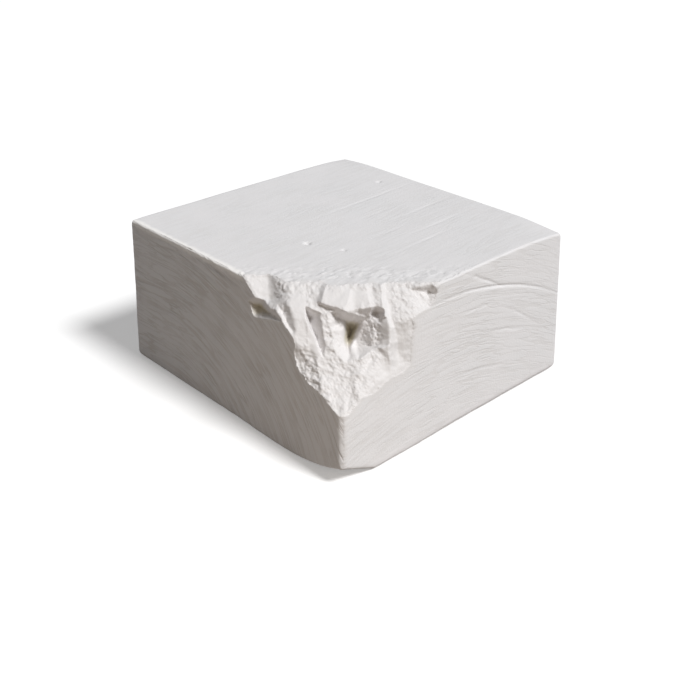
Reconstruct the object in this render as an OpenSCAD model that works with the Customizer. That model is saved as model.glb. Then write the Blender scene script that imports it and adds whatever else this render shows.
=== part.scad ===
// Climbing chalk block: one pressed brick of magnesium carbonate with an upper corner broken away.
// Millimetres, +Z up. The origin is the middle of the base, and the break is at the +X, -Y corner.

/* [Block] */
// Length of the base along X
block_l = 62; // [54:0.5:70]
// Width of the base along Y
block_w = 58.5; // [52:0.5:66]
// Height of the block
block_h = 29.7; // [26:0.1:36]
// Lean of each side face in from the vertical, in degrees, as the press mould leaves it
draft = 2.2; // [0:0.1:3]
// Radius worn onto the edges
edge_r = 1.6; // [1:0.1:2.4]

/* [Worn lower corner] */
// How far the wear reaches along the base edge of the front (-Y) face
wear_front = 17; // [10:0.5:22]
// How far it reaches along the base edge of the side (+X) face
wear_side = 6.5; // [4:0.5:12]
// How high the wear has rounded the corner up from the base
wear_rise = 3; // [1.5:0.1:5]

/* [Break] */
// Reach of the break along the top edge of the front (-Y) face
break_front = 23.5; // [18:0.5:28]
// Reach of the break along the top edge of the side (+X) face
break_side = 21.5; // [17:0.5:26]
// Reach of the break down the corner
break_drop = 15.3; // [12:0.1:18]
// Direction that the break faces, in degrees round from the front
break_turn = 47; // [40:1:54]
// Direction that the break faces, in degrees up from level
break_tilt = 28; // [22:1:34]
// Depth of the crevice in the middle of the break, below the plane through the ends of the break
crevice = 7; // [4:0.1:8]
// Height of the crumbs that the break is rough with
crumb_h = 0.35; // [0.1:0.05:0.6]
// Distance between those crumbs
crumb_pitch = 1.9; // [1.4:0.1:3]

/* [Resolution] */
// Size of one facet of the broken surface
facet = 0.5; // [0.5:0.05:1.2]

/* [Hidden] */
lean = tan(draft);

// The missing corner, and the three points where the break leaves the block's edges.
corner = [block_l / 2 - block_h * lean, -block_w / 2 + block_h * lean, block_h];
front_end = corner + [-break_front, 0, 0];
side_end = corner + [0, break_side, 0];
low_end = corner + [lean, -lean, -1] * break_drop;

// The break's own frame, with its origin at the missing corner: across, up the slope, and out of the block.
out = [sin(break_turn) * cos(break_tilt), -cos(break_turn) * cos(break_tilt), sin(break_tilt)];
across = [cos(break_turn), sin(break_turn), 0];
up = cross(out, across);
function in_frame(p) = [(p - corner) * across, (p - corner) * up, (p - corner) * out];

// The plane through the three ends, as its height out of the block over that frame.
f = in_frame(front_end);
s = in_frame(side_end);
l = in_frame(low_end);
tip = cross(s - f, l - f);
function plane_at(x, y) = f.z - (tip.x * (x - f.x) + tip.y * (y - f.y)) / tip.z;

function smooth(t) = let (c = max(0, min(1, t))) c * c * (3 - 2 * c);
function hash(i, j) = let (s = sin(i * 127.1 + j * 311.7) * 43758.5453) s - floor(s);
function noise(x, y) =
    let (i = floor(x), j = floor(y), a = smooth(x - i), b = smooth(y - j))
    (hash(i, j) * (1 - a) + hash(i + 1, j) * a) * (1 - b)
    + (hash(i, j + 1) * (1 - a) + hash(i + 1, j + 1) * a) * b - 0.5;

// Noise at a pitch in millimetres, with finer layers on top, each turned from the last.
function layered(x, y, pitch, layers) =
    layers == 0 ? 0 : noise(x / pitch + 17.3, y / pitch + 9.1)
    + 0.55 * layered(0.8 * x - 0.6 * y, 0.6 * x + 0.8 * y, pitch * 0.48, layers - 1);

// Forms of the break, in the order that they are cut or left standing. Each is
// [sign, across, up, height, slope left, slope right, slope above, slope below, turn, half length, softness],
// for a break of this span and fall, with the crevice this deep.
form_span = 31.8;
form_fall = 13.9;
form_depth = 7;
CUT = -1;
STAND = 1;
forms = [
    [STAND, -8.8, 1.6, 2.0, 0.55, 0.10, 0.17, 0.35, 14, 1.0, 0.4],    // smooth ridge on the left
    [CUT, -9.3, 1.1, 0.7, 1.20, 1.00, 0.60, 0.60, 30, 2.4, 0.3],      // gully along its flank
    [CUT, 10.0, -7.9, -6.6, 0.80, 0.00, 0.00, 1.30, -75, 3.5, 0.4],   // slope on the right
    [STAND, 6.8, 2.5, 1.3, 0.30, 1.50, 0.06, 0.72, 6, 3.0, 0.2],      // ridge right of the recess
    [STAND, 4.5, -7.5, -1.8, 0.00, 0.82, 0.30, 0.00, -24, 3.0, 0.8],  // smooth facet, lower right
    [CUT, 0.5, -9.5, -1.6, 0.10, 0.10, 0.35, 0.20, 10, 2.5, 1.0],     // granular lower slope
    [CUT, -6.4, -8.0, -2.4, 1.00, 0.60, 0.80, 0.30, 24, 1.8, 0.5],    // lower left chip
    [CUT, 1.2, -0.9, -3.2, 1.20, 0.66, 3.00, 0.80, -6, 2.6, 0.3],     // recess
    [CUT, 1.4, -0.8, -7.0, 4.00, 3.00, 1.50, 1.80, -8, 1.3, 0.2],     // crevice in its floor
    [CUT, 2.5, -3.0, -4.1, 1.30, 0.70, 0.60, 1.60, 4, 0.4, 0.5],      // pit below it
    [CUT, 5.6, 1.8, -1.6, 1.00, 2.00, 2.00, 0.90, 20, 0.2, 0.3],      // pocket, upper right
    [STAND, -1.5, 3.1, 2.5, 3.50, 0.28, 1.20, 1.00, 72, 2.1, 0.4],    // slab over the recess
    [STAND, 2.9, 2.75, 1.5, 3.00, 0.08, 0.60, 0.70, 102, 1.6, 0.6],   // its crumbling right end
    [CUT, -4.6, -1.2, -1.6, 5.00, 1.50, 1.80, 0.60, 20, 2.7, 0.2],    // spindle-shaped groove
    [CUT, -12.4, 6.4, -1.35, 0.30, 1.00, 0.50, 0.50, 0, 1.6, 1.0],    // scoop at the left end
    [CUT, -13.9, 3.0, -4.6, 0.80, 1.20, 2.20, 0.50, -32, 0.0, 0.3],   // chip under the scoop
    [CUT, 14.2, 4.8, -1.9, 0.60, 0.50, 1.50, 0.30, -8, 0.8, 0.4]      // undercut, upper right
];

// Height of four sloping walls that rise away from a form's line, rounded along it.
function walls(x, y, form) =
    let (p = x * cos(form[8]) + y * sin(form[8]), q = y * cos(form[8]) - x * sin(form[8]), soft = form[10])
    (norm([p, soft / 2]) - soft / 2) * (p > 0 ? form[5] : form[4])
    + max(abs(q) - form[9], 0) * (q > 0 ? form[6] : form[7]);

// The larger of two heights, rounded over where they are close.
function soft_max(a, b, soft) = max(a, b) + pow(max(soft - abs(a - b), 0), 2) / (4 * soft);

// Height left by the forms from one of them on, over a height left by those before it.
function formed(x, y, k = 0, h = 0) =
    k == len(forms) ? h :
    let (
        form = forms[k],
        side = form[0],
        own = side * form[3] - walls(x - form[1], y - form[2], form)
    )
    formed(x, y, k + 1, side * soft_max(side * h, own, form[10]));

// How far the edges of the forms wander from straight, and over what distance.
wander = 0.35;
wander_pitch = 2.6;

// Places that parted cleanly, as [across, up, half width, half height], and the share of crumbs they lack.
clean_share = 0.8;
clean = [
    [-13.2, 6.4, 2.2, 2.2], [-7.2, 0.5, 1.5, 5.0], [-4.2, -1.2, 1.3, 3.6], [0.2, 4.3, 4.2, 1.6],
    [8.6, -8.0, 2.8, 2.2], [7.2, 0.5, 0.8, 5.5], [9.4, -3.0, 1.6, 3.0]
];
function near(x, y, place) = exp(-pow((x - place[0]) / place[2], 2) - pow((y - place[1]) / place[3], 2));
function cleanness(x, y) = smooth(1.5 * max([for (place = clean) near(x, y, place)]));

// Height of the broken surface out of the block.
function broken(x, y) =
    let (
        u = x * form_span / (s.x - f.x),
        v = -y * form_fall / l.y,
        wander_u = wander * layered(u + 11, v + 5, wander_pitch, 3),
        wander_v = wander * layered(u + 31, v + 25, wander_pitch, 3)
    )
    plane_at(x, y)
    + formed(u + wander_u, v + wander_v) * crevice / form_depth
    + crumb_h * layered(x, y, crumb_pitch, 2) * (1 - clean_share * cleanness(u, v));

// Everything outside the broken surface, as one closed solid.
module broken_away() {
    margin = 4;
    x0 = f.x - margin;
    x1 = s.x + margin;
    y0 = l.y - margin;
    y1 = max(f.y, s.y) + margin;
    nx = ceil((x1 - x0) / facet);
    ny = ceil((y1 - y0) / facet);

    function at(i, j) = j * (nx + 1) + i;
    spots = [for (j = [0:ny]) for (i = [0:nx]) [x0 + (x1 - x0) * i / nx, y0 + (y1 - y0) * j / ny]];
    heights = [for (p = spots) broken(p.x, p.y)];
    skin = [for (k = [0:len(spots) - 1]) corner + across * spots[k].x + up * spots[k].y + out * heights[k]];

    // Two triangles over one cell, parted along whichever diagonal is nearer to level.
    function cell(a, b, c, d) = abs(heights[a] - heights[c]) < abs(heights[b] - heights[d])
        ? [[a, b, c], [a, c, d]]
        : [[a, b, d], [b, c, d]];

    rim = concat(
        [for (i = [0:nx - 1]) at(i, 0)],
        [for (j = [0:ny - 1]) at(nx, j)],
        [for (i = [nx:-1:1]) at(i, ny)],
        [for (j = [ny:-1:1]) at(0, j)]
    );
    lid = [for (k = rim) corner + across * spots[k].x + up * spots[k].y + out * margin];
    n = len(skin);
    m = len(rim);
    polyhedron(
        points = concat(skin, lid),
        faces = concat(
            [for (j = [0:ny - 1]) for (i = [0:nx - 1])
                each cell(at(i, j), at(i + 1, j), at(i + 1, j + 1), at(i, j + 1))],
            [for (k = [0:m - 1]) each [
                [rim[k], n + k, n + (k + 1) % m],
                [rim[k], n + (k + 1) % m, rim[(k + 1) % m]]
            ]],
            [[for (k = [m - 1:-1:0]) n + k]]
        )
    );
}

// A ball that rounds the edge between two side faces at a height, set in from the +X and -Y faces.
module edge_ball(z, in_x = 0, in_y = 0) {
    seat = edge_r / cos(draft) + lean * z;
    translate([block_l / 2 - seat - in_x, -block_w / 2 + seat + in_y, z]) sphere(edge_r, $fn = 24);
}

// Height of the wear along a base edge, from 0 at its start under the break to 1 where it runs out.
function worn(t) = wear_rise * pow(1 - t, 3);

module brick() {
    top_z = block_h - edge_r;
    hull() {
        for (t = [0:0.25:1]) edge_ball(edge_r + worn(t), in_x = t * wear_front);
        edge_ball(edge_r, in_y = wear_side);
        edge_ball(top_z);
        mirror([1, 0, 0]) for (z = [edge_r, top_z]) edge_ball(z);
        mirror([0, 1, 0]) for (z = [edge_r, top_z]) {
            edge_ball(z);
            mirror([1, 0, 0]) edge_ball(z);
        }
    }
}

module chalk_block() {
    color("#e6e3df")
        difference() {
            brick();
            broken_away();
        }
}

chalk_block();
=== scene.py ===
"""Climbing chalk block: one pressed brick of magnesium carbonate with an upper corner broken away."""
import math

import bpy
import numpy as np
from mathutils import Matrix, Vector


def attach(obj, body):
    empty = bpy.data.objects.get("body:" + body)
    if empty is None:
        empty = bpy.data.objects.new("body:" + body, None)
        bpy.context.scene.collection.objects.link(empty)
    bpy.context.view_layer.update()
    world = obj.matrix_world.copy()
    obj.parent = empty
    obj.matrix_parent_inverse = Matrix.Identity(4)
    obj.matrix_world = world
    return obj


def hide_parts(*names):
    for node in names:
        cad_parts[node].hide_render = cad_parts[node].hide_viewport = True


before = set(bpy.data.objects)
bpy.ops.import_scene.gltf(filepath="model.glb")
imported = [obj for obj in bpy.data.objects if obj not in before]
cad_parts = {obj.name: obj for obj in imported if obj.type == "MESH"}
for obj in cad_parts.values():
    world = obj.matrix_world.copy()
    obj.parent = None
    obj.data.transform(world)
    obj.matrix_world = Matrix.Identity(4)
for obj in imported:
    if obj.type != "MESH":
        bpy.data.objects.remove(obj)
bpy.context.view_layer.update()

MM = 0.001

# These keep divisions off zero.
NOT_ZERO = 0.01
TINY = 1e-9

# ---------------------------------------------------------------- sizes, in millimetres and degrees
# The brick's base and height, and the lean of its side faces in from the vertical.
BLOCK_L = 62.0
BLOCK_W = 58.5
BLOCK_H = 29.7
DRAFT = 2.2
LEAN = math.tan(math.radians(DRAFT))

# Radius worn onto the edges, and the smaller one at the broken corner, which it comes down to over a
# distance from the middle of the block.
EDGE_R = 1.6
CORNER_R = 1.2
CORNER_REACH = 12.0

# Radius of the two sharp top edges beside the break. An edge begins to be one of them where its outward
# direction, which is 1 long, has this much of +X or of -Y in it.
SHARP_R = 0.4
SHARP_FROM = 0.75

# Wear along the base edges under the break: how far it reaches along the -Y and +X faces, how high it
# rises at the corner, the height at which it has faded out, and how steeply it curves up.
WEAR_FRONT = 17.0
WEAR_SIDE = 6.5
WEAR_RISE = 3.0
WEAR_TOP = 14.0
WEAR_CURVE = 2.5

# Wear of the other upper corners: [side in X, side in Y, depth, reach].
WORN_CORNERS = [[-1, -1, 0.5, 2.2], [-1, 1, 0.6, 5.5], [1, 1, 0.8, 7.0]]

# The break: its reach along both top edges and down the corner, and the direction that it faces,
# round from the front and up from level.
BREAK_FRONT = 23.5
BREAK_SIDE = 21.5
BREAK_DROP = 15.3
BREAK_TURN = 47.0
BREAK_TILT = 28.0

# Distance over which the break rounds into the faces beside it.
LIP = 0.6

# Spacing of the mesh: along each side of the brick, in from its edges, and over the break.
STEP_X = 0.30
STEP_Y = 0.42
STEP_Z = 0.25
RIM = np.array([0.0, 0.1, 0.2, 0.3, 0.42, 0.65, 0.9, 1.25])
BREAK_STEP = 0.14
MOST_TRIANGLES = 194000


# ---------------------------------------------------------------- noise
# Numbers that scatter the heights of the noise over its cells. A call that adds a number to x or y only
# reads another part of the same noise.
SCATTER_X = 127.1
SCATTER_Y = 311.7
SCATTER_GAIN = 43758.5453

# Where the first layer of noise starts, and how each finer layer is turned, shrunk and lowered.
START_X = 17.3
START_Y = 9.1
LAYER_COS = 0.8
LAYER_SIN = 0.6
FINER = 0.48
LOWER = 0.55


def smooth(t):
    """A step from 0 to 1 with soft ends."""
    c = np.clip(t, 0.0, 1.0)
    return c * c * (3.0 - 2.0 * c)


def hashed(i, j):
    """A number from 0 to 1 for each cell of a grid, the same on each run."""
    s = np.sin(np.radians(i * SCATTER_X + j * SCATTER_Y)) * SCATTER_GAIN
    return s - np.floor(s)


def noise(x, y):
    """Value noise from -0.5 to 0.5 with a cell of 1."""
    i = np.floor(x)
    j = np.floor(y)
    a = smooth(x - i)
    b = smooth(y - j)
    low = hashed(i, j) * (1 - a) + hashed(i + 1, j) * a
    high = hashed(i, j + 1) * (1 - a) + hashed(i + 1, j + 1) * a
    return low * (1 - b) + high * b - 0.5


def layered(x, y, pitch, layers, lower=LOWER):
    """Noise at a pitch in millimetres, with finer layers on top, each turned from the last."""
    total = np.zeros_like(x)
    height = 1.0
    for _ in range(layers):
        total += height * noise(x / pitch + START_X, y / pitch + START_Y)
        x, y = LAYER_COS * x - LAYER_SIN * y, LAYER_SIN * x + LAYER_COS * y
        pitch *= FINER
        height *= lower
    return total


def around(x, y, at_x, at_y, reach_x, reach_y=None):
    """A round bump of height 1 at a place, or an oval one."""
    reach_y = reach_x if reach_y is None else reach_y
    return np.exp(-((x - at_x) / reach_x) ** 2 - ((y - at_y) / reach_y) ** 2)


# ---------------------------------------------------------------- the broken surface
# The missing corner, and the break's own frame there: across, up the slope, and out of the block. Heights
# in this section are along OUT, from the missing corner.
CORNER = np.array([BLOCK_L / 2 - BLOCK_H * LEAN, -BLOCK_W / 2 + BLOCK_H * LEAN, BLOCK_H])
TURN = math.radians(BREAK_TURN)
TILT = math.radians(BREAK_TILT)
OUT = np.array([math.sin(TURN) * math.cos(TILT), -math.cos(TURN) * math.cos(TILT), math.sin(TILT)])
ACROSS = np.array([math.cos(TURN), math.sin(TURN), 0.0])
UP = np.cross(OUT, ACROSS)
BREAK_FRAME = np.array([ACROSS, UP, OUT])

# The three points where the break leaves the block's edges, and the way that their plane faces.
FRONT_END = BREAK_FRAME @ np.array([-BREAK_FRONT, 0.0, 0.0])
SIDE_END = BREAK_FRAME @ np.array([0.0, BREAK_SIDE, 0.0])
LOW_END = BREAK_FRAME @ (np.array([LEAN, -LEAN, -1.0]) * BREAK_DROP)
TIP = np.cross(SIDE_END - FRONT_END, LOW_END - FRONT_END)

# Forms of the break, in the order that they are cut or left standing. Each is
# [sign, across, up, height, slope left, slope right, slope above, slope below, turn, half length, softness].
CUT = -1
STAND = 1
FORMS = [
    [STAND, -8.8, 1.6, 2.0, 0.55, 0.10, 0.17, 0.35, 14, 1.0, 0.4],    # smooth ridge on the left
    [CUT, -9.3, 1.1, 0.7, 1.20, 1.00, 0.60, 0.60, 30, 2.4, 0.3],      # gully along its flank
    [CUT, 10.0, -7.9, -6.6, 0.80, 0.00, 0.00, 1.30, -75, 3.5, 0.4],   # slope on the right
    [STAND, 6.8, 2.5, 1.3, 0.30, 1.50, 0.06, 0.72, 6, 3.0, 0.2],      # ridge right of the recess
    [STAND, 4.5, -7.5, -1.8, 0.00, 0.82, 0.30, 0.00, -24, 3.0, 0.8],  # smooth facet, lower right
    [CUT, 0.5, -9.5, -1.6, 0.10, 0.10, 0.35, 0.20, 10, 2.5, 1.0],     # granular lower slope
    [CUT, -6.4, -8.0, -2.4, 1.00, 0.60, 0.80, 0.30, 24, 1.8, 0.5],    # lower left chip
    [CUT, 1.2, -0.9, -3.2, 1.20, 0.66, 3.00, 0.80, -6, 2.6, 0.3],     # recess
    [CUT, 1.4, -0.8, -7.0, 4.00, 3.00, 1.50, 1.80, -8, 1.3, 0.2],     # crevice in its floor
    [CUT, 2.5, -3.0, -4.1, 1.30, 0.70, 0.60, 1.60, 4, 0.4, 0.5],      # pit below it
    [CUT, 5.6, 1.8, -1.6, 1.00, 2.00, 2.00, 0.90, 20, 0.2, 0.3],      # pocket, upper right
    [STAND, -1.5, 3.1, 2.5, 3.50, 0.28, 1.20, 1.00, 72, 2.1, 0.4],    # slab over the recess
    [STAND, 2.9, 2.75, 1.5, 3.00, 0.08, 0.60, 0.70, 102, 1.6, 0.6],   # its crumbling right end
    [CUT, -4.6, -1.2, -1.6, 12.0, 1.50, 1.80, 0.60, 20, 2.7, 0.2],    # spindle-shaped groove
    [CUT, -12.4, 6.4, -1.35, 0.30, 1.00, 0.50, 0.50, 0, 1.6, 1.0],    # scoop at the left end
    [CUT, -13.9, 3.0, -4.6, 0.80, 1.20, 2.20, 0.50, -32, 0.0, 0.3],   # chip under the scoop
    [CUT, 14.2, 4.8, -1.9, 0.60, 0.50, 1.50, 0.30, -8, 0.8, 0.4],     # undercut, upper right
]

# How far the edges of the forms wander from straight, and over what distance.
WANDER = 0.35
WANDER_PITCH = 2.6

# Places on the break, as [across, up, half width, half height]: the ones that parted cleanly and the share
# of crumbs that they lack, the ones that crumbled most and the share that they have more, and the hollows
# that get painted shade.
CLEAN = [[-13.2, 6.4, 2.2, 2.2], [-7.2, 0.5, 1.5, 5.0], [-4.2, -1.2, 1.3, 3.6], [0.2, 4.3, 4.2, 1.6],
         [8.6, -8.0, 2.8, 2.2], [7.2, 0.5, 0.8, 5.5], [9.4, -3.0, 1.6, 3.0]]
CLEAN_SHARE = 0.80
ROUGH = [[-10.3, 6.2, 1.0, 1.8], [-5.2, -8.2, 1.6, 3.0], [4.6, -0.8, 1.8, 2.6],
         [-11.0, 2.0, 1.5, 0.8], [-1.0, -1.2, 1.5, 2.4]]
ROUGH_SHARE = 0.6
SHADED_HOLLOWS = [[1.4, -1.2, 1.4, 2.0], [-13.2, 3.2, 2.4, 1.6]]

# A spot is full over its middle, where the bump that it is made from is over 1 / SPOT_FULL.
SPOT_FULL = 1.5

# Height and pitch of the crumbs of the break, of the finer ones on them, with how much lower each layer of
# those is than the last, and of the low swell under both.
CRUMB_H = 0.24
CRUMB_PITCH = 1.9
FINE_CRUMB_H = 0.28
FINE_CRUMB_PITCH = 0.9
FINE_CRUMB_LOWER = 0.75
SWELL_H = 0.08
SWELL_PITCH = 2.1


def walls(x, y, left, right, above, below, turn, half_length, soft):
    """Height of four sloping walls that rise away from a line, rounded along it."""
    c = math.cos(math.radians(turn))
    s = math.sin(math.radians(turn))
    p = x * c + y * s
    q = y * c - x * s
    aside = np.hypot(p, soft / 2) - soft / 2
    past = np.maximum(np.abs(q) - half_length, 0.0)
    return aside * np.where(p > 0, right, left) + past * np.where(q > 0, above, below)


def soft_max(a, b, soft):
    """The larger of two heights, rounded over where they are close."""
    apart = np.abs(a - b)
    return np.maximum(a, b) + np.where(apart < soft, (soft - apart) ** 2 / (4 * soft), 0.0)


def plane_at(x, y):
    """Height of the plane through the three ends of the break."""
    return FRONT_END[2] - (TIP[0] * (x - FRONT_END[0]) + TIP[1] * (y - FRONT_END[1])) / TIP[2]


def forms_at(x, y):
    """Height of the chips, ridges and ledges of the break over its plane, with edges that wander."""
    wandered_x = x + WANDER * layered(x + 11, y + 5, WANDER_PITCH, 3)
    wandered_y = y + WANDER * layered(x + 31, y + 25, WANDER_PITCH, 3)
    h = np.zeros_like(x)
    for sign, across, up, height, left, right, above, below, turn, half, soft in FORMS:
        rise = walls(wandered_x - across, wandered_y - up, left, right, above, below, turn, half, soft)
        if sign == CUT:
            h = -soft_max(-h, -height - rise, soft)
        else:
            h = soft_max(h, height - rise, soft)
    return h


def faces_at(x, y):
    """Height of the nearest face of the unbroken brick."""
    to_side = BREAK_FRAME[:, 0] + LEAN * BREAK_FRAME[:, 2]
    to_front = LEAN * BREAK_FRAME[:, 2] - BREAK_FRAME[:, 1]
    side = -(x * to_side[0] + y * to_side[1]) / to_side[2]
    front = -(x * to_front[0] + y * to_front[1]) / to_front[2]
    top = (-x * BREAK_FRAME[0, 2] - y * BREAK_FRAME[1, 2]) / BREAK_FRAME[2, 2]
    return np.minimum(top, np.minimum(side, front))


def spots(x, y, places):
    """A map that is near 1 at each of some places."""
    return smooth(SPOT_FULL * np.max([around(x, y, *place) for place in places], axis=0))


def broken(x, y):
    """Height of the broken surface, with its crumbs, rounded into the faces beside it."""
    much = (1 - CLEAN_SHARE * spots(x, y, CLEAN)) * (1 + ROUGH_SHARE * spots(x, y, ROUGH))
    crumbs = CRUMB_H * layered(x, y, CRUMB_PITCH, 3)
    fine_crumbs = FINE_CRUMB_H * layered(x + 3, y, FINE_CRUMB_PITCH, 3, FINE_CRUMB_LOWER)
    swell = SWELL_H * layered(x, y, SWELL_PITCH, 3)
    h = plane_at(x, y) + forms_at(x, y) + (crumbs + fine_crumbs) * much + swell
    under = np.abs(faces_at(x, y) - h)
    return h - np.where(under < LIP, (LIP - under) ** 2 / (4 * LIP), 0.0)


# ---------------------------------------------------------------- mesh helpers
def new_mesh_object(name, points, faces):
    """A mesh object from points in millimetres."""
    mesh = bpy.data.meshes.new(name)
    mesh.from_pydata((points * MM).tolist(), [], faces)
    mesh.validate()
    piece = bpy.data.objects.new(name, mesh)
    bpy.context.scene.collection.objects.link(piece)
    return piece


def apply_modifiers(piece):
    """Replace a piece's mesh by what its modifiers make of it."""
    graph = bpy.context.evaluated_depsgraph_get()
    done = bpy.data.meshes.new_from_object(piece.evaluated_get(graph))
    piece.modifiers.clear()
    piece.data = done


def store(mesh, name, values):
    """Keep a value for each point of a mesh, under a name that its material reads."""
    layer = mesh.attributes.new(name, "FLOAT", "POINT")
    layer.data.foreach_set("value", values.astype(np.float32))


def grid_quads(index):
    """Quads over a grid of vertex numbers."""
    a = index[:-1, :-1].ravel()
    b = index[1:, :-1].ravel()
    c = index[1:, 1:].ravel()
    d = index[:-1, 1:].ravel()
    return np.stack([a, b, c, d], -1)


# ---------------------------------------------------------------- the brick before it broke
def grid_lines(length, step):
    """Grid lines over a length from its middle, closer together at both ends."""
    inner = np.linspace(EDGE_R, length - EDGE_R, int(length / step))
    return np.concatenate([RIM, inner, length - RIM[::-1]]) - length / 2


def brick_lattice():
    """Vertex places on a sharp box and its quads, as one closed grid."""
    xs = grid_lines(BLOCK_L, STEP_X)
    ys = grid_lines(BLOCK_W, STEP_Y)
    zs = grid_lines(BLOCK_H, STEP_Z)
    nx, ny, nz = len(xs) - 1, len(ys) - 1, len(zs) - 1
    i, j, k = np.meshgrid(np.arange(nx + 1), np.arange(ny + 1), np.arange(nz + 1), indexing="ij")
    shell = (i == 0) | (i == nx) | (j == 0) | (j == ny) | (k == 0) | (k == nz)
    index = np.full(shell.shape, -1)
    index[shell] = np.arange(shell.sum())
    quads = [
        grid_quads(index[:, :, 0])[:, ::-1], grid_quads(index[:, :, -1]),
        grid_quads(index[:, 0, :]), grid_quads(index[:, -1, :])[:, ::-1],
        grid_quads(index[0, :, :])[:, ::-1], grid_quads(index[-1, :, :]),
    ]
    return np.stack([xs[i[shell]], ys[j[shell]], zs[k[shell]]], -1), np.concatenate(quads)


def round_off(p):
    """Round a sharp box and stand it on its base: places and outward directions of its points.
    The top edges of the -Y and +X faces stay sharp, and the others are worn rounder."""
    half = np.array([BLOCK_L, BLOCK_W, BLOCK_H]) / 2

    # In plan: the rounded core of the box, and which way and how far out of it each point is.
    plan_r = EDGE_R + (CORNER_R - EDGE_R) * smooth(p[:, 0] / CORNER_REACH) * smooth(-p[:, 1] / CORNER_REACH)
    inner = half[:2] - plan_r[:, None]
    core = np.clip(p[:, :2], -inner, inner)
    off = p[:, :2] - core
    reach = np.abs(off).max(1)
    way = off / np.maximum(np.linalg.norm(off, axis=1), TINY)[:, None]

    # Upright: the radius of the edge that a point is on, and the point moved onto it.
    sharp = smooth((np.maximum(way[:, 0], -way[:, 1]) - SHARP_FROM) / (1 - SHARP_FROM))
    r = np.where(p[:, 2] > 0, plan_r + (SHARP_R - plan_r) * sharp, plan_r)
    out = np.maximum(r - plan_r + reach, 0.0)
    rise = np.maximum(r - half[2] + np.abs(p[:, 2]), 0.0)
    size = np.hypot(out, rise)
    out = out / size
    rise = rise / size
    radial = np.where(out > 0, plan_r - r + r * out, reach)
    height = np.where(rise > 0, half[2] - r + r * rise, np.abs(p[:, 2]))
    side = np.sign(p[:, 2])
    n = np.column_stack([way * out[:, None], rise * side])
    return np.column_stack([core + way * radial[:, None], height * side + half[2]]), n


# ---------------------------------------------------------------- marks on the brick's faces
# Grain ridges, a fine and a coarse kind: width and length, and the coarse kind's height as a share of the
# fine kind's.
FINE_GRAIN_W = 0.55
FINE_GRAIN_LENGTH = 14
COARSE_GRAIN_W = 0.95
COARSE_GRAIN_LENGTH = 9
COARSE_GRAIN_SHARE = 0.7

# How far the ridges sway off their flow, over what length along it, and over what distance across it.
SLOW_SWAY = 1.1
SLOW_SWAY_LENGTH = 9
SLOW_SWAY_ACROSS = 6
QUICK_SWAY = 0.35
QUICK_SWAY_LENGTH = 3
QUICK_SWAY_ACROSS = 2

# Flow of the grain. On the top it runs along Y and drifts this far in X for each millimetre. On the +X
# face it is level at a place in Y, and bows down by this much times the square of the distance from it.
# On the -Y face it runs level up to a place in X, and from there falls away in arcs round a middle below
# the base. The arcs are this share as high as they are wide.
TOP_DRIFT = 0.055
SIDE_BOW = 0.0072
SIDE_BOW_AT = -7.0
ARCS_X = -17
ARCS_Z = -12
ARCS_SHARE = 0.9

# Height of the grain on each face.
TOP_GRAIN_H = 0.012
SIDE_GRAIN_H = 0.020
FRONT_GRAIN_H = 0.035
BACK_GRAIN_H = 0.025

# Low unevenness of the top and of the side faces: height and pitch.
TOP_SWELL_H = 0.10
TOP_SWELL_PITCH = 16.0
FACE_SWELL_H = 0.08
FACE_SWELL_PITCH = 9.0

# Pits in the top: [x, y, reach, depth].
PITS = [[2.6, -11.7, 0.45, 0.9], [-12.5, 21.9, 0.45, 0.4], [9.5, -8.8, 0.35, 0.4]]

# Cracks in the top, [x, y, half length, depth], and in the -Y face, [x, z, half length, depth].
TOP_CRACKS = [[-6.3, 12.0, 11.0, 0.12], [4.8, 17.5, 8.0, 0.08], [12.4, 14.0, 7.0, 0.10],
              [0.5, 8.5, 5.0, 0.07], [16.5, 6.0, 6.0, 0.09], [9.0, 3.0, 4.0, 0.06]]
FRONT_CRACKS = [[0.3, 18.5, 7.0, 0.22], [-8.0, 27.0, 9.0, 0.20], [-4.0, 5.7, 8.0, 0.16],
                [5.3, 5.5, 4.5, 0.20], [-20.0, 15.0, 7.0, 0.14], [-14.0, 20.0, 6.0, 0.12]]
CRACK_W = 0.22

# How far a crack sways off its line, and over what length.
CRACK_SWAY = 0.25
CRACK_SWAY_LENGTH = 2.2

# Cracks in the +X face: [place across the flow, y, slope off the flow, half width, half length, depth].
# The first has a raised lip beside it: [place across the flow, y, half width, half length], and its height.
SIDE_CRACKS = [[26.1, 10.0, 0.0, 0.20, 16.0, 0.26], [27.6, 6.0, 0.35, 0.20, 4.5, 0.20],
               [20.2, 17.0, 0.30, 0.18, 4.0, 0.14], [22.6, 4.0, -0.10, 0.16, 3.2, 0.12],
               [17.4, 12.0, 0.0, 0.18, 5.0, 0.12], [10.2, 6.0, 0.0, 0.18, 7.0, 0.12]]
SIDE_LIP = [25.6, 12.0, 0.35, 15.0]
SIDE_LIP_H = 0.05

# One crack of the -Y face crosses the grain and slopes down towards the break, just under the top edge:
# its slope, and [height at the middle of the block, x, half width, half length, depth].
SLOPING = 0.13
SLOPING_CRACK = [27.9, -2.0, 0.2, 8.0, 0.25]

# Crumbling of the top along the break: how far in from the missing corner, how far either side of that,
# the height and pitch of the crumbs, and how strong a crumb has to be to show.
CRUMBLING_AT = 17.0
CRUMBLING_REACH = 6.0
CRUMBLING_H = 0.30
CRUMBLING_PITCH = 1.0
CRUMBLING_FROM = 0.30

# Wear of the edges: how deep they are rubbed all along, and the depth and pitch of the unevenness in that.
# The top ones also have chips, with a depth and pitch, wherever the noise is over CHIP_FROM, and full where
# it is CHIP_SOFT more. They reach this far below the top.
RUB_DEPTH = 0.02
RUB_UNEVEN = 0.05
RUB_PITCH = 1.8
CHIP_DEPTH = 0.05
CHIP_PITCH = 2.8
CHIP_FROM = 0.22
CHIP_SOFT = 0.3
CHIP_BELOW = 1

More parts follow.
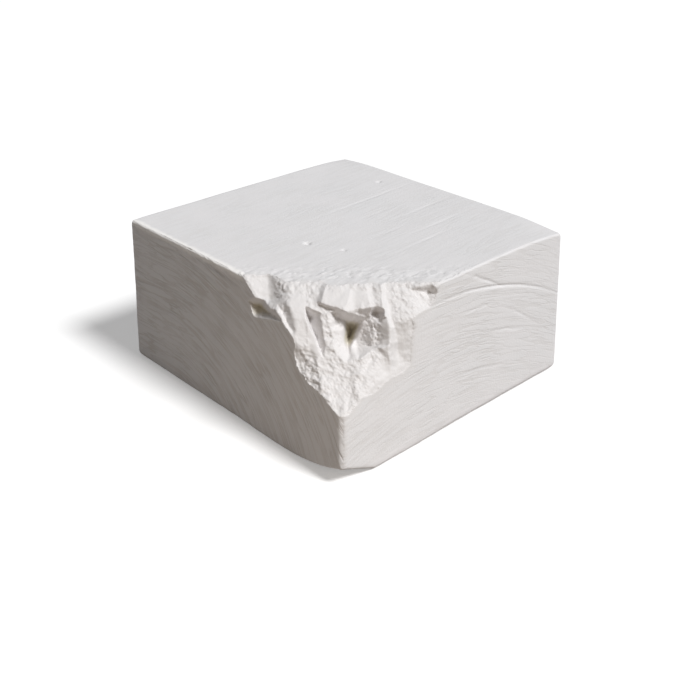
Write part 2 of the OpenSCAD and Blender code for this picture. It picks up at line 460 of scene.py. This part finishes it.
# A nick in the top edge of the -Y face: place in X, half width, depth, how far below the top it reaches,
# and how far a point has to face -Y to be in it.
NICK_X = -10.6
NICK_W = 0.8
NICK_DEPTH = 0.35
NICK_BELOW = 2.2
NICK_FACING = -0.1

# How far the -X face stands in, and how its grain and that of the +Y face slope.
BACK_INSET = 0.25
BACK_SLOPE = 0.15

# The squares of an outward direction add up to 1. An edge is full where none of them is over this, and it
# has faded out where one is 1.
EDGE_SHARE = 0.5


def grain(flow, along, seed):
    """Fine wavy ridges left by the mould and the blade, about 1 mm apart, that follow a flow."""
    slow = SLOW_SWAY * noise(along / SLOW_SWAY_LENGTH + seed, flow / SLOW_SWAY_ACROSS + seed)
    quick = QUICK_SWAY * noise(along / QUICK_SWAY_LENGTH, flow / QUICK_SWAY_ACROSS + seed)
    across = flow + (slow + quick)
    fine = noise(across / FINE_GRAIN_W + seed, along / FINE_GRAIN_LENGTH)
    coarse = noise(across / COARSE_GRAIN_W + 2 * seed, along / COARSE_GRAIN_LENGTH + 4)
    return fine + COARSE_GRAIN_SHARE * coarse


def crack(flow, along, at, middle, width, length, depth):
    """One thin crack that follows a flow, tapering out at its ends."""
    sway = CRACK_SWAY * noise(along / CRACK_SWAY_LENGTH + at, middle + 0.5)
    return -depth * around(flow + sway, along, at, middle, width, length)


def corner_distance(x, y):
    """How far in from the missing corner a point of the top is, at right angles to the break."""
    return ((CORNER[0] - x) * OUT[0] + (CORNER[1] - y) * OUT[1]) / math.hypot(OUT[0], OUT[1])


def top_marks(x, y):
    """Relief of the top: faint scratches along Y, a few pits, and crumbling along the break."""
    flow = x + TOP_DRIFT * y
    d = TOP_GRAIN_H * grain(flow, y, seed=3.0) + TOP_SWELL_H * layered(x, y, TOP_SWELL_PITCH, 2)
    for at_x, at_y, reach, depth in PITS:
        d -= depth * around(x, y, at_x, at_y, reach)
    for at_x, at_y, length, depth in TOP_CRACKS:
        d += crack(flow, y, at_x + TOP_DRIFT * at_y, at_y, CRACK_W, length, depth)
    off = (corner_distance(x, y) - CRUMBLING_AT) / CRUMBLING_REACH
    crumbs = layered(x + 40, y, CRUMBLING_PITCH, 3)
    d += smooth(1 - np.abs(off)) * CRUMBLING_H * np.where(np.abs(crumbs) > CRUMBLING_FROM, crumbs, 0.0)
    return d


def side_marks(y, z):
    """Relief of the +X face: fine wood-like lines that bow down away from the break, and a few cracks."""
    flow = z + SIDE_BOW * (y - SIDE_BOW_AT) ** 2
    d = SIDE_GRAIN_H * grain(flow, y, seed=1.0) + FACE_SWELL_H * layered(y, z, FACE_SWELL_PITCH, 2)
    for at, middle, slope, width, length, depth in SIDE_CRACKS:
        d += crack(flow + slope * (y - middle), y, at, middle, width, length, depth)
    return d + SIDE_LIP_H * around(flow, y, *SIDE_LIP)


def front_flow(x, z):
    """Grain of the -Y face: arcs that run level on the left and fall away towards the break."""
    return np.hypot(ARCS_SHARE * np.maximum(x - ARCS_X, 0), z - ARCS_Z)


def front_marks(x, z):
    """Relief of the -Y face: fine falling streaks and a few long cracks."""
    flow = front_flow(x, z)
    d = FRONT_GRAIN_H * grain(flow, x, seed=5.0) + FACE_SWELL_H * layered(x, z, FACE_SWELL_PITCH, 2)
    for at_x, at_z, length, depth in FRONT_CRACKS:
        d += crack(flow, x, front_flow(at_x, at_z), at_x, CRACK_W, length, depth)
    return d + crack(z + SLOPING * x, x, *SLOPING_CRACK)


def back_marks(along, z, seed):
    """Relief of the -X and +Y faces: the same light grain, sloping a little."""
    light = BACK_GRAIN_H * grain(z + BACK_SLOPE * along, along, seed)
    return light + FACE_SWELL_H * layered(along + seed, z, FACE_SWELL_PITCH, 2)


def face_marks(p, facing):
    """Relief of all faces, each by how much a point faces that way. The base has none."""
    x, y, z = p.T
    along_x, along_y, up = facing.T
    marks = np.where(along_x > 0, side_marks(y, z), back_marks(y, z, seed=7.0) - BACK_INSET) * along_x ** 2
    marks += np.where(along_y < 0, front_marks(x, z), back_marks(x, z, seed=8.0)) * along_y ** 2
    marks += np.where(up > 0, top_marks(x, y), 0.0) * up ** 2
    return marks


def edge_wear(p, edge):
    """How far the edges are rubbed away, with small chips out of the top ones."""
    x, y, z = p.T
    # The height goes into the noise too, so that the upright edges aren't the same all the way up.
    chips = smooth((layered(x + 5, y + 0.6 * z, CHIP_PITCH, 4) - CHIP_FROM) / CHIP_SOFT)
    uneven = RUB_UNEVEN * layered(x + 2 * z, y - z, RUB_PITCH, 3)
    return edge * (RUB_DEPTH + uneven + CHIP_DEPTH * chips * (z > BLOCK_H - CHIP_BELOW))


def edge_nick(p, facing, edge):
    """One deeper nick in the top edge of the -Y face."""
    x, _, z = p.T
    beside = (facing[:, 1] < NICK_FACING) * (z > BLOCK_H - NICK_BELOW)
    return NICK_DEPTH * (np.exp(-((x - NICK_X) / NICK_W) ** 2) * beside) * edge


def corner_wear(p):
    """How far each of the other upper corners is worn down."""
    wear = np.zeros(len(p))
    for side_x, side_y, depth, reach in WORN_CORNERS:
        wear += depth * around(p[:, 0], p[:, 1], side_x * BLOCK_L / 2, side_y * BLOCK_W / 2, reach)
    return wear * p[:, 2] / BLOCK_H


def lower_wear(p):
    """How far the base is worn up under the break, fading out up the corner."""
    along = np.clip(1 - (BLOCK_L / 2 - CORNER_R - p[:, 0]) / WEAR_FRONT, 0, 1)
    back = np.clip((p[:, 1] + BLOCK_W / 2 - CORNER_R) / WEAR_SIDE, 0, 1)
    rise = WEAR_RISE * along ** WEAR_CURVE * np.clip(1 - back / np.maximum(along, NOT_ZERO), 0, 1)
    return rise * np.clip(1 - p[:, 2] / WEAR_TOP, 0, 1)


def brick():
    """The whole brick with its rounded, worn edges and the marks on its faces."""
    p, quads = brick_lattice()
    p, facing = round_off(p)
    edge = 1 - smooth(((facing ** 2).max(1) - EDGE_SHARE) / (1 - EDGE_SHARE))
    marks = face_marks(p, facing) - edge_wear(p, edge) - edge_nick(p, facing, edge)
    p += marks[:, None] * facing
    p[:, 0] *= 1 - LEAN * p[:, 2] / (BLOCK_L / 2)
    p[:, 1] *= 1 - LEAN * p[:, 2] / (BLOCK_W / 2)
    p[:, 2] += lower_wear(p) - corner_wear(p)
    return new_mesh_object("chalk_block_surface", p, quads.tolist())


# ---------------------------------------------------------------- the break in the brick
# How far the cutter goes past the ends of the break, and out of the missing corner.
MARGIN = 4.0

# Depth under the broken surface at which a point is no longer freshly broken, and how fresh it has to be to
# lie in a hollow. A point takes the full painted shade of a hollow where it lies this deep below a ring of
# points round it.
FRESH_DEPTH = 1.2
FRESH_FROM = 0.9
HOLLOW_DEPTH = 1.8
RING_R = 1.6
RING_POINTS = 8


def break_cutter():
    """Everything outside the broken surface, as one closed solid."""
    x0 = FRONT_END[0] - MARGIN
    x1 = SIDE_END[0] + MARGIN
    y0 = LOW_END[1] - MARGIN
    y1 = max(FRONT_END[1], SIDE_END[1]) + MARGIN
    nx = int((x1 - x0) / BREAK_STEP)
    ny = int((y1 - y0) / BREAK_STEP)
    x, y = np.meshgrid(np.linspace(x0, x1, nx + 1), np.linspace(y0, y1, ny + 1), indexing="ij")
    skin = np.stack([x, y, broken(x, y)], -1).reshape(-1, 3)
    index = np.arange(len(skin)).reshape(nx + 1, ny + 1)
    rim = np.concatenate([index[:-1, 0], index[-1, :-1], index[:0:-1, -1], index[0, :0:-1]])
    lid = skin[rim].copy()
    lid[:, 2] = MARGIN
    over = len(skin) + np.arange(len(rim))
    sides = np.stack([rim, np.roll(rim, -1), np.roll(over, -1), over], -1)
    faces = grid_quads(index)[:, ::-1].tolist() + sides.tolist() + [over.tolist()]
    points = CORNER + np.concatenate([skin, lid]) @ BREAK_FRAME
    return new_mesh_object("break_cutter", points, faces)


def cut_break(block):
    """Take the broken corner off the brick."""
    cutter = break_cutter()
    cut = block.modifiers.new("break", "BOOLEAN")
    cut.operation = "DIFFERENCE"
    cut.object = cutter
    cut.solver = "MANIFOLD"
    apply_modifiers(block)
    bpy.data.objects.remove(cutter)


def thin_out(block):
    """Bring the mesh down to the most triangles that it may have, the flattest stretches first."""
    block.modifiers.new("triangles", "TRIANGULATE")
    apply_modifiers(block)
    fewer = block.modifiers.new("fewer", "DECIMATE")
    fewer.ratio = MOST_TRIANGLES / len(block.data.polygons)
    apply_modifiers(block)
    block.data.shade_smooth()


def mark_points(block):
    """Store how freshly broken each point is, and how deep it lies in a hollow of the break, which sets how
    much painted shade its colour takes there.
    """
    points = np.empty(len(block.data.vertices) * 3)
    block.data.vertices.foreach_get("co", points)
    points = points.reshape(-1, 3) / MM
    x, y, z = ((points - CORNER) @ BREAK_FRAME.T).T
    fresh = 1 - smooth((broken(x, y) - z) / FRESH_DEPTH)
    on = fresh > FRESH_FROM
    x, y, z = x[on], y[on], z[on]
    turns = np.arange(RING_POINTS) * 2 * math.pi / RING_POINTS
    ring = [broken(x + RING_R * math.cos(turn), y + RING_R * math.sin(turn)) for turn in turns]
    painted_hollow_shade = np.zeros(len(fresh))
    painted_hollow_shade[on] = smooth((np.mean(ring, axis=0) - z) / HOLLOW_DEPTH) * spots(x, y, SHADED_HOLLOWS)
    store(block.data, "fresh", fresh)
    store(block.data, "painted_hollow_shade", painted_hollow_shade)


# ---------------------------------------------------------------- materials
# Pressed chalk, in millimetres: the faint greyer patches, the raggedness of the rubbed edge, and the grit.
# The grains of the powder are some hundredths of a millimetre, too fine to show, so the grit is drawn as
# coarse as it needs to be.
PATCH = 7
RAGGED = 1.5
GRIT = 0.35

# Lines of the grain on the three faces that show them: millimetres apart, and how strong each face's are.
# Among them lie lines COARSER times as far apart. A line is LINE_LENGTH times as long as the lines are
# apart. It lies where the noise is within LINE_WIDTH of its middle, and has LINE_TINT of the line's shade.
TOP_LINE = 1.2
TOP_LINE_SHARE = 0.45
SIDE_LINE = 1.1
SIDE_LINE_SHARE = 0.75
FRONT_LINE = 1.3
FRONT_LINE_SHARE = 2.0
COARSER = 2
LINE_LENGTH = 9
LINE_WIDTH = 0.05
LINE_TINT = 0.35
NOISE_MIDDLE = 0.5

# A face's lines begin where a point faces that way by the first of these, and are full from the second on.
TURNED_FROM = 0.5
TURNED_TO = 0.8

# The lines are faint where the noise of the patches is low, and strong where it is high.
PATCH_LOW = 0.3
PATCH_HIGH = 0.7
FAINT = 0.5
STRONG = 1.5

# The rubbed edge, whose white also paints the highlight along it, is all white up to the first of these and
# ends at the second, in millimetres from the edge, with the ragged noise of about half a millimetre added.
RUBBED_TO = 1.0
RUBBED_END = 1.9

# Pressed powder is dry and full of pores, so it scatters nearly all light and has hardly any sheen.
ROUGHNESS = 0.92
IOR = 1.5
SHEEN = 0.25

# Depth of a line in millimetres, the strength of that relief, and the height of the grit beside a line's.
RELIEF = 0.06
RELIEF_STRENGTH = 0.5
GRIT_SHARE = 1.1

# Colours, in sRGB.
PALE_SKIN = "E8E6E7"
GREY_SKIN = "E2E2E3"
LINE_SHADE = "D6D2D0"
# Rubbed white, partly the wear of handling and partly a painted highlight along the edge.
RUBBED_WHITE_AND_HIGHLIGHT = "FAF8F6"
FRESH_CHALK = "E1DFDF"
# Painted shade: the olive grey that darkens the deepest hollows of the break, where shade falls.
PAINTED_HOLLOW_SHADE = "CBC5B5"
PAPER_SEEN = "EDEDED"
PAPER_UNSEEN = "A49E98"
SKY_GREY = "F4F4F6"
LAMP_WARM = "F6DCBC"
WHITE = "FFFFFF"

# How much of its own light the paper adds to what the camera sees of it.
PAPER_GLOW = 0.30


def linear(hex_colour):
    """An sRGB hex colour as linear red, green, blue and 1."""
    parts = [int(hex_colour[k:k + 2], 16) / 255 for k in (0, 2, 4)]
    return [c / 12.92 if c <= 0.04045 else ((c + 0.055) / 1.055) ** 2.4 for c in parts] + [1.0]


def add(tree, kind, inputs=(), **settings):
    """Add a node with its settings. An input is a value, or a link from a socket or a node's first output."""
    node = tree.nodes.new("ShaderNode" + kind)
    for name, value in settings.items():
        setattr(node, name, value)
    pairs = inputs.items() if isinstance(inputs, dict) else enumerate(inputs)
    for place, value in pairs:
        if isinstance(value, bpy.types.Node):
            value = next(output for output in value.outputs if output.enabled)
        if isinstance(value, bpy.types.NodeSocket):
            tree.links.new(value, node.inputs[place])
        else:
            node.inputs[place].default_value = value
    return node


def new_material(name):
    """An empty material and its node tree."""
    material = bpy.data.materials.new(name)
    material.use_nodes = True
    material.node_tree.nodes.clear()
    return material, material.node_tree


def grain_flows(tree, x, y, z):
    """The flows that the relief of the top, the +X and the -Y face follows, from a place in millimetres."""
    top = add(tree, "Math", [y, TOP_DRIFT, x], operation="MULTIPLY_ADD")
    off = add(tree, "Math", [y, SIDE_BOW_AT], operation="SUBTRACT")
    squared = add(tree, "Math", [off, off], operation="MULTIPLY")
    side = add(tree, "Math", [squared, SIDE_BOW, z], operation="MULTIPLY_ADD")
    beyond = add(tree, "Math", [x, ARCS_X], operation="SUBTRACT")
    beyond = add(tree, "Math", [beyond, 0.0], operation="MAXIMUM")
    narrowed = add(tree, "Math", [beyond, ARCS_SHARE], operation="MULTIPLY")
    high = add(tree, "Math", [z, ARCS_Z], operation="SUBTRACT")
    arm = add(tree, "CombineXYZ", [narrowed, high])
    front = add(tree, "VectorMath", [arm], operation="LENGTH")
    return top, side, front


def fine_lines(tree, flow, along, apart):
    """Thin wavy lines drawn by the mould and the blade: 1 on a line, 0 between them."""
    across = add(tree, "Math", [flow, apart], operation="DIVIDE")
    lengthwise = add(tree, "Math", [along, apart * LINE_LENGTH], operation="DIVIDE")
    place = add(tree, "CombineXYZ", [across, lengthwise])
    wave = add(tree, "TexNoise", {"Vector": place, "Scale": 1.0, "Detail": 3.0, "Distortion": 0.4})
    level = add(tree, "Math", [wave, NOISE_MIDDLE], operation="SUBTRACT")
    off = add(tree, "Math", [level], operation="ABSOLUTE")
    return add(tree, "MapRange", [off, 0.0, LINE_WIDTH, 1.0, 0.0], interpolation_type="SMOOTHSTEP")


def face_lines(tree, x, y, z, facing):
    """The fine lines of the top, the +X and the -Y face, each along its own grain."""
    top, side, front = grain_flows(tree, x, y, z)
    faces = [["Z", 1, top, y, TOP_LINE, TOP_LINE_SHARE],
             ["X", 1, side, y, SIDE_LINE, SIDE_LINE_SHARE],
             ["Y", -1, front, x, FRONT_LINE, FRONT_LINE_SHARE]]
    total = 0.0
    for axis, sign, flow, along, apart, share in faces:
        fine = fine_lines(tree, flow, along, apart)
        coarse = fine_lines(tree, flow, along, apart * COARSER)
        both = add(tree, "Math", [fine, coarse], operation="MAXIMUM")
        turned = add(tree, "Math", [facing.outputs[axis], sign], operation="MULTIPLY")
        weight = add(tree, "MapRange", [turned, TURNED_FROM, TURNED_TO, 0.0, share],
                     interpolation_type="SMOOTHSTEP")
        total = add(tree, "Math", [both, weight, total], operation="MULTIPLY_ADD")
    return total


def rubbed_rim_and_highlight(tree, place, y, z):
    """1 along the top edge of the -Y face, where handling has rubbed it whiter and a highlight is painted,
    with a ragged end.
    """
    below = add(tree, "Math", [BLOCK_H, z], operation="SUBTRACT")
    leaned = add(tree, "Math", [z, -LEAN, y], operation="MULTIPLY_ADD")
    inside = add(tree, "Math", [leaned, BLOCK_W / 2], operation="ADD")
    from_edge = add(tree, "Math", [below, inside], operation="MAXIMUM")
    ragged = add(tree, "TexNoise", {"Vector": place, "Scale": 1 / (RAGGED * MM), "Detail": 3.0})
    off = add(tree, "Math", [from_edge, ragged], operation="ADD")
    return add(tree, "MapRange", [off, RUBBED_TO, RUBBED_END, 1.0, 0.0], interpolation_type="SMOOTHSTEP")


def pressed_chalk():
    """Magnesium carbonate powder, pressed in a mould and cut with a blade. It is a dry, soft, matt off-white
    with hardly any sheen, faintly lined by the blade, and whiter where it is rubbed along one edge, where a
    highlight is painted too. Painted shade darkens the deep hollows of the break."""
    material, tree = new_material("pressed_chalk")
    coordinates = add(tree, "TexCoord")
    place = coordinates.outputs["Object"]
    in_mm = add(tree, "VectorMath", {"Vector": place, "Scale": 1 / MM}, operation="SCALE")
    x, y, z = add(tree, "SeparateXYZ", [in_mm]).outputs
    facing = add(tree, "SeparateXYZ", [coordinates.outputs["Normal"]])
    fresh = add(tree, "Attribute", attribute_name="fresh").outputs["Fac"]
    painted_hollow_shade = add(tree, "Attribute", attribute_name="painted_hollow_shade").outputs["Fac"]

    patches = add(tree, "TexNoise", {"Vector": place, "Scale": 1 / (PATCH * MM), "Detail": 4.0})
    strength = add(tree, "MapRange", [patches, PATCH_LOW, PATCH_HIGH, FAINT, STRONG],
                   interpolation_type="SMOOTHSTEP")
    on_skin = add(tree, "Math", [1.0, fresh], operation="SUBTRACT")
    strength = add(tree, "Math", [on_skin, strength], operation="MULTIPLY")
    lines = add(tree, "Math", [face_lines(tree, x, y, z, facing), strength], operation="MULTIPLY")

    # Each colour lies over the ones before it by its share. The rubbed white is partly a painted highlight.
    line_tint = add(tree, "Math", [lines, LINE_TINT], operation="MULTIPLY")
    # The hollows' layer is painted shade, darkening the deep hollows of the break.
    layers = [[patches, GREY_SKIN], [line_tint, LINE_SHADE], [rubbed_rim_and_highlight(tree, place, y, z), RUBBED_WHITE_AND_HIGHLIGHT],
              [fresh, FRESH_CHALK], [painted_hollow_shade, PAINTED_HOLLOW_SHADE]]
    colour = linear(PALE_SKIN)
    for share, over in layers:
        colour = add(tree, "Mix", {"Factor": share, "A": colour, "B": linear(over)}, data_type="RGBA")

    grit = add(tree, "TexNoise", {"Vector": place, "Scale": 1 / (GRIT * MM), "Detail": 3.0})
    raised = add(tree, "Math", [grit, GRIT_SHARE], operation="MULTIPLY")
    relief = add(tree, "Math", [raised, lines], operation="SUBTRACT")
    bump = add(tree, "Bump", {"Height": relief, "Strength": RELIEF_STRENGTH, "Distance": RELIEF * MM})
    shader = add(tree, "BsdfPrincipled", {
        "Base Color": colour, "Roughness": ROUGHNESS, "IOR": IOR,
        "Specular IOR Level": SHEEN, "Normal": bump})
    add(tree, "OutputMaterial", {"Surface": shader})
    return material


def seen_directly(tree):
    """1 for what the camera sees itself, in a mirror or through glass, and 0 for light on the object."""
    path = add(tree, "LightPath").outputs
    seen = add(tree, "Math", [path["Is Camera Ray"], path["Is Glossy Ray"]], operation="MAXIMUM")
    return add(tree, "Math", [seen, path["Is Transmission Ray"]], operation="MAXIMUM")


def studio_paper():
    """Plain matt studio paper, nearly white to the camera, with the block's shadow on it. It throws back
    less light than it seems to, so that the block's sides keep their shade."""
    material, tree = new_material("studio_paper")
    lit = add(tree, "BsdfDiffuse", [linear(PAPER_SEEN)])
    glow = add(tree, "Emission", [linear(WHITE), PAPER_GLOW])
    seen = add(tree, "AddShader", [lit, glow])
    unseen = add(tree, "BsdfDiffuse", [linear(PAPER_UNSEEN)])
    surface = add(tree, "MixShader", [seen_directly(tree), unseen, seen])
    add(tree, "OutputMaterial", {"Surface": surface})
    return material


# ---------------------------------------------------------------- the studio
# Places in the studio are in millimetres, and so are the camera's lens and sensor.
CAMERA_AT = Vector((126.57, -117.18, 98.72)) * MM
CAMERA_TO = Vector((4.63, -2.75, 5.42)) * MM
CAMERA_LENS = 50.55
CAMERA_SENSOR = 36.0

# The sun, by the direction that it comes from and how wide it is in degrees, which softens its shadows.
SUN_FROM = Vector((0.61, 0.13, 0.78))
SUN_STRENGTH = 3.0
SUN_ANGLE = 14

# The fill lamp, with its power in watts.
FILL_AT = Vector((54.0, -66.0, 26.0)) * MM
FILL_TO = Vector((12.0, -BLOCK_W / 2, 12.0)) * MM
FILL_POWER = 0.0060
FILL_SIZE = 80 * MM

# How strongly the sky lights the block, and half the width of the floor.
SKY_STRENGTH = 0.15
FLOOR_HALF = 3000


def set_up(name, data, at, to):
    """Stand a camera or a lamp at a place, turned to look at another."""
    stand = bpy.data.objects.new(name, data)
    stand.location = at
    stand.rotation_euler = (at - to).to_track_quat("Z", "Y").to_euler()
    bpy.context.scene.collection.objects.link(stand)
    return stand


def make_camera():
    """A camera that looks down on the broken corner from in front of it."""
    camera = bpy.data.cameras.new("camera")
    camera.sensor_width = CAMERA_SENSOR
    camera.lens = CAMERA_LENS
    bpy.context.scene.camera = set_up("camera", camera, CAMERA_AT, CAMERA_TO)


def make_sun():
    """A soft sun from above, on the +X side."""
    sun = bpy.data.lights.new("key", "SUN")
    sun.energy = SUN_STRENGTH
    sun.angle = math.radians(SUN_ANGLE)
    set_up("key", sun, SUN_FROM, Vector())


def make_fill():
    """A weak warm lamp, low down in front of the -Y face."""
    fill = bpy.data.lights.new("fill", "AREA")
    fill.energy = FILL_POWER
    fill.size = FILL_SIZE
    fill.color = linear(LAMP_WARM)[:3]
    set_up("fill", fill, FILL_AT, FILL_TO)


def make_world():
    """A weak even sky, which the camera sees as white."""
    world = bpy.data.worlds.new("studio")
    world.use_nodes = True
    tree = world.node_tree
    tree.nodes.clear()
    sky = add(tree, "Background", [linear(SKY_GREY), SKY_STRENGTH])
    white = add(tree, "Background", [linear(WHITE), 1.0])
    surface = add(tree, "MixShader", [seen_directly(tree), sky, white])
    add(tree, "OutputWorld", {"Surface": surface})
    bpy.context.scene.world = world


def make_floor():
    """A wide sheet of studio paper under the block."""
    corners = np.array([[-1, -1, 0], [1, -1, 0], [1, 1, 0], [-1, 1, 0]]) * FLOOR_HALF
    floor = new_mesh_object("floor", corners, [[0, 1, 2, 3]])
    floor.data.materials.append(studio_paper())


# ---------------------------------------------------------------- build
block = brick()
cut_break(block)
thin_out(block)
mark_points(block)
# The cut leaves an empty slot.
block.data.materials.clear()
block.data.materials.append(pressed_chalk())
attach(block, "root")
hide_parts("chalk_block")

make_floor()
make_sun()
make_fill()
make_world()
make_camera()
bpy.context.scene.view_settings.view_transform = "Standard"
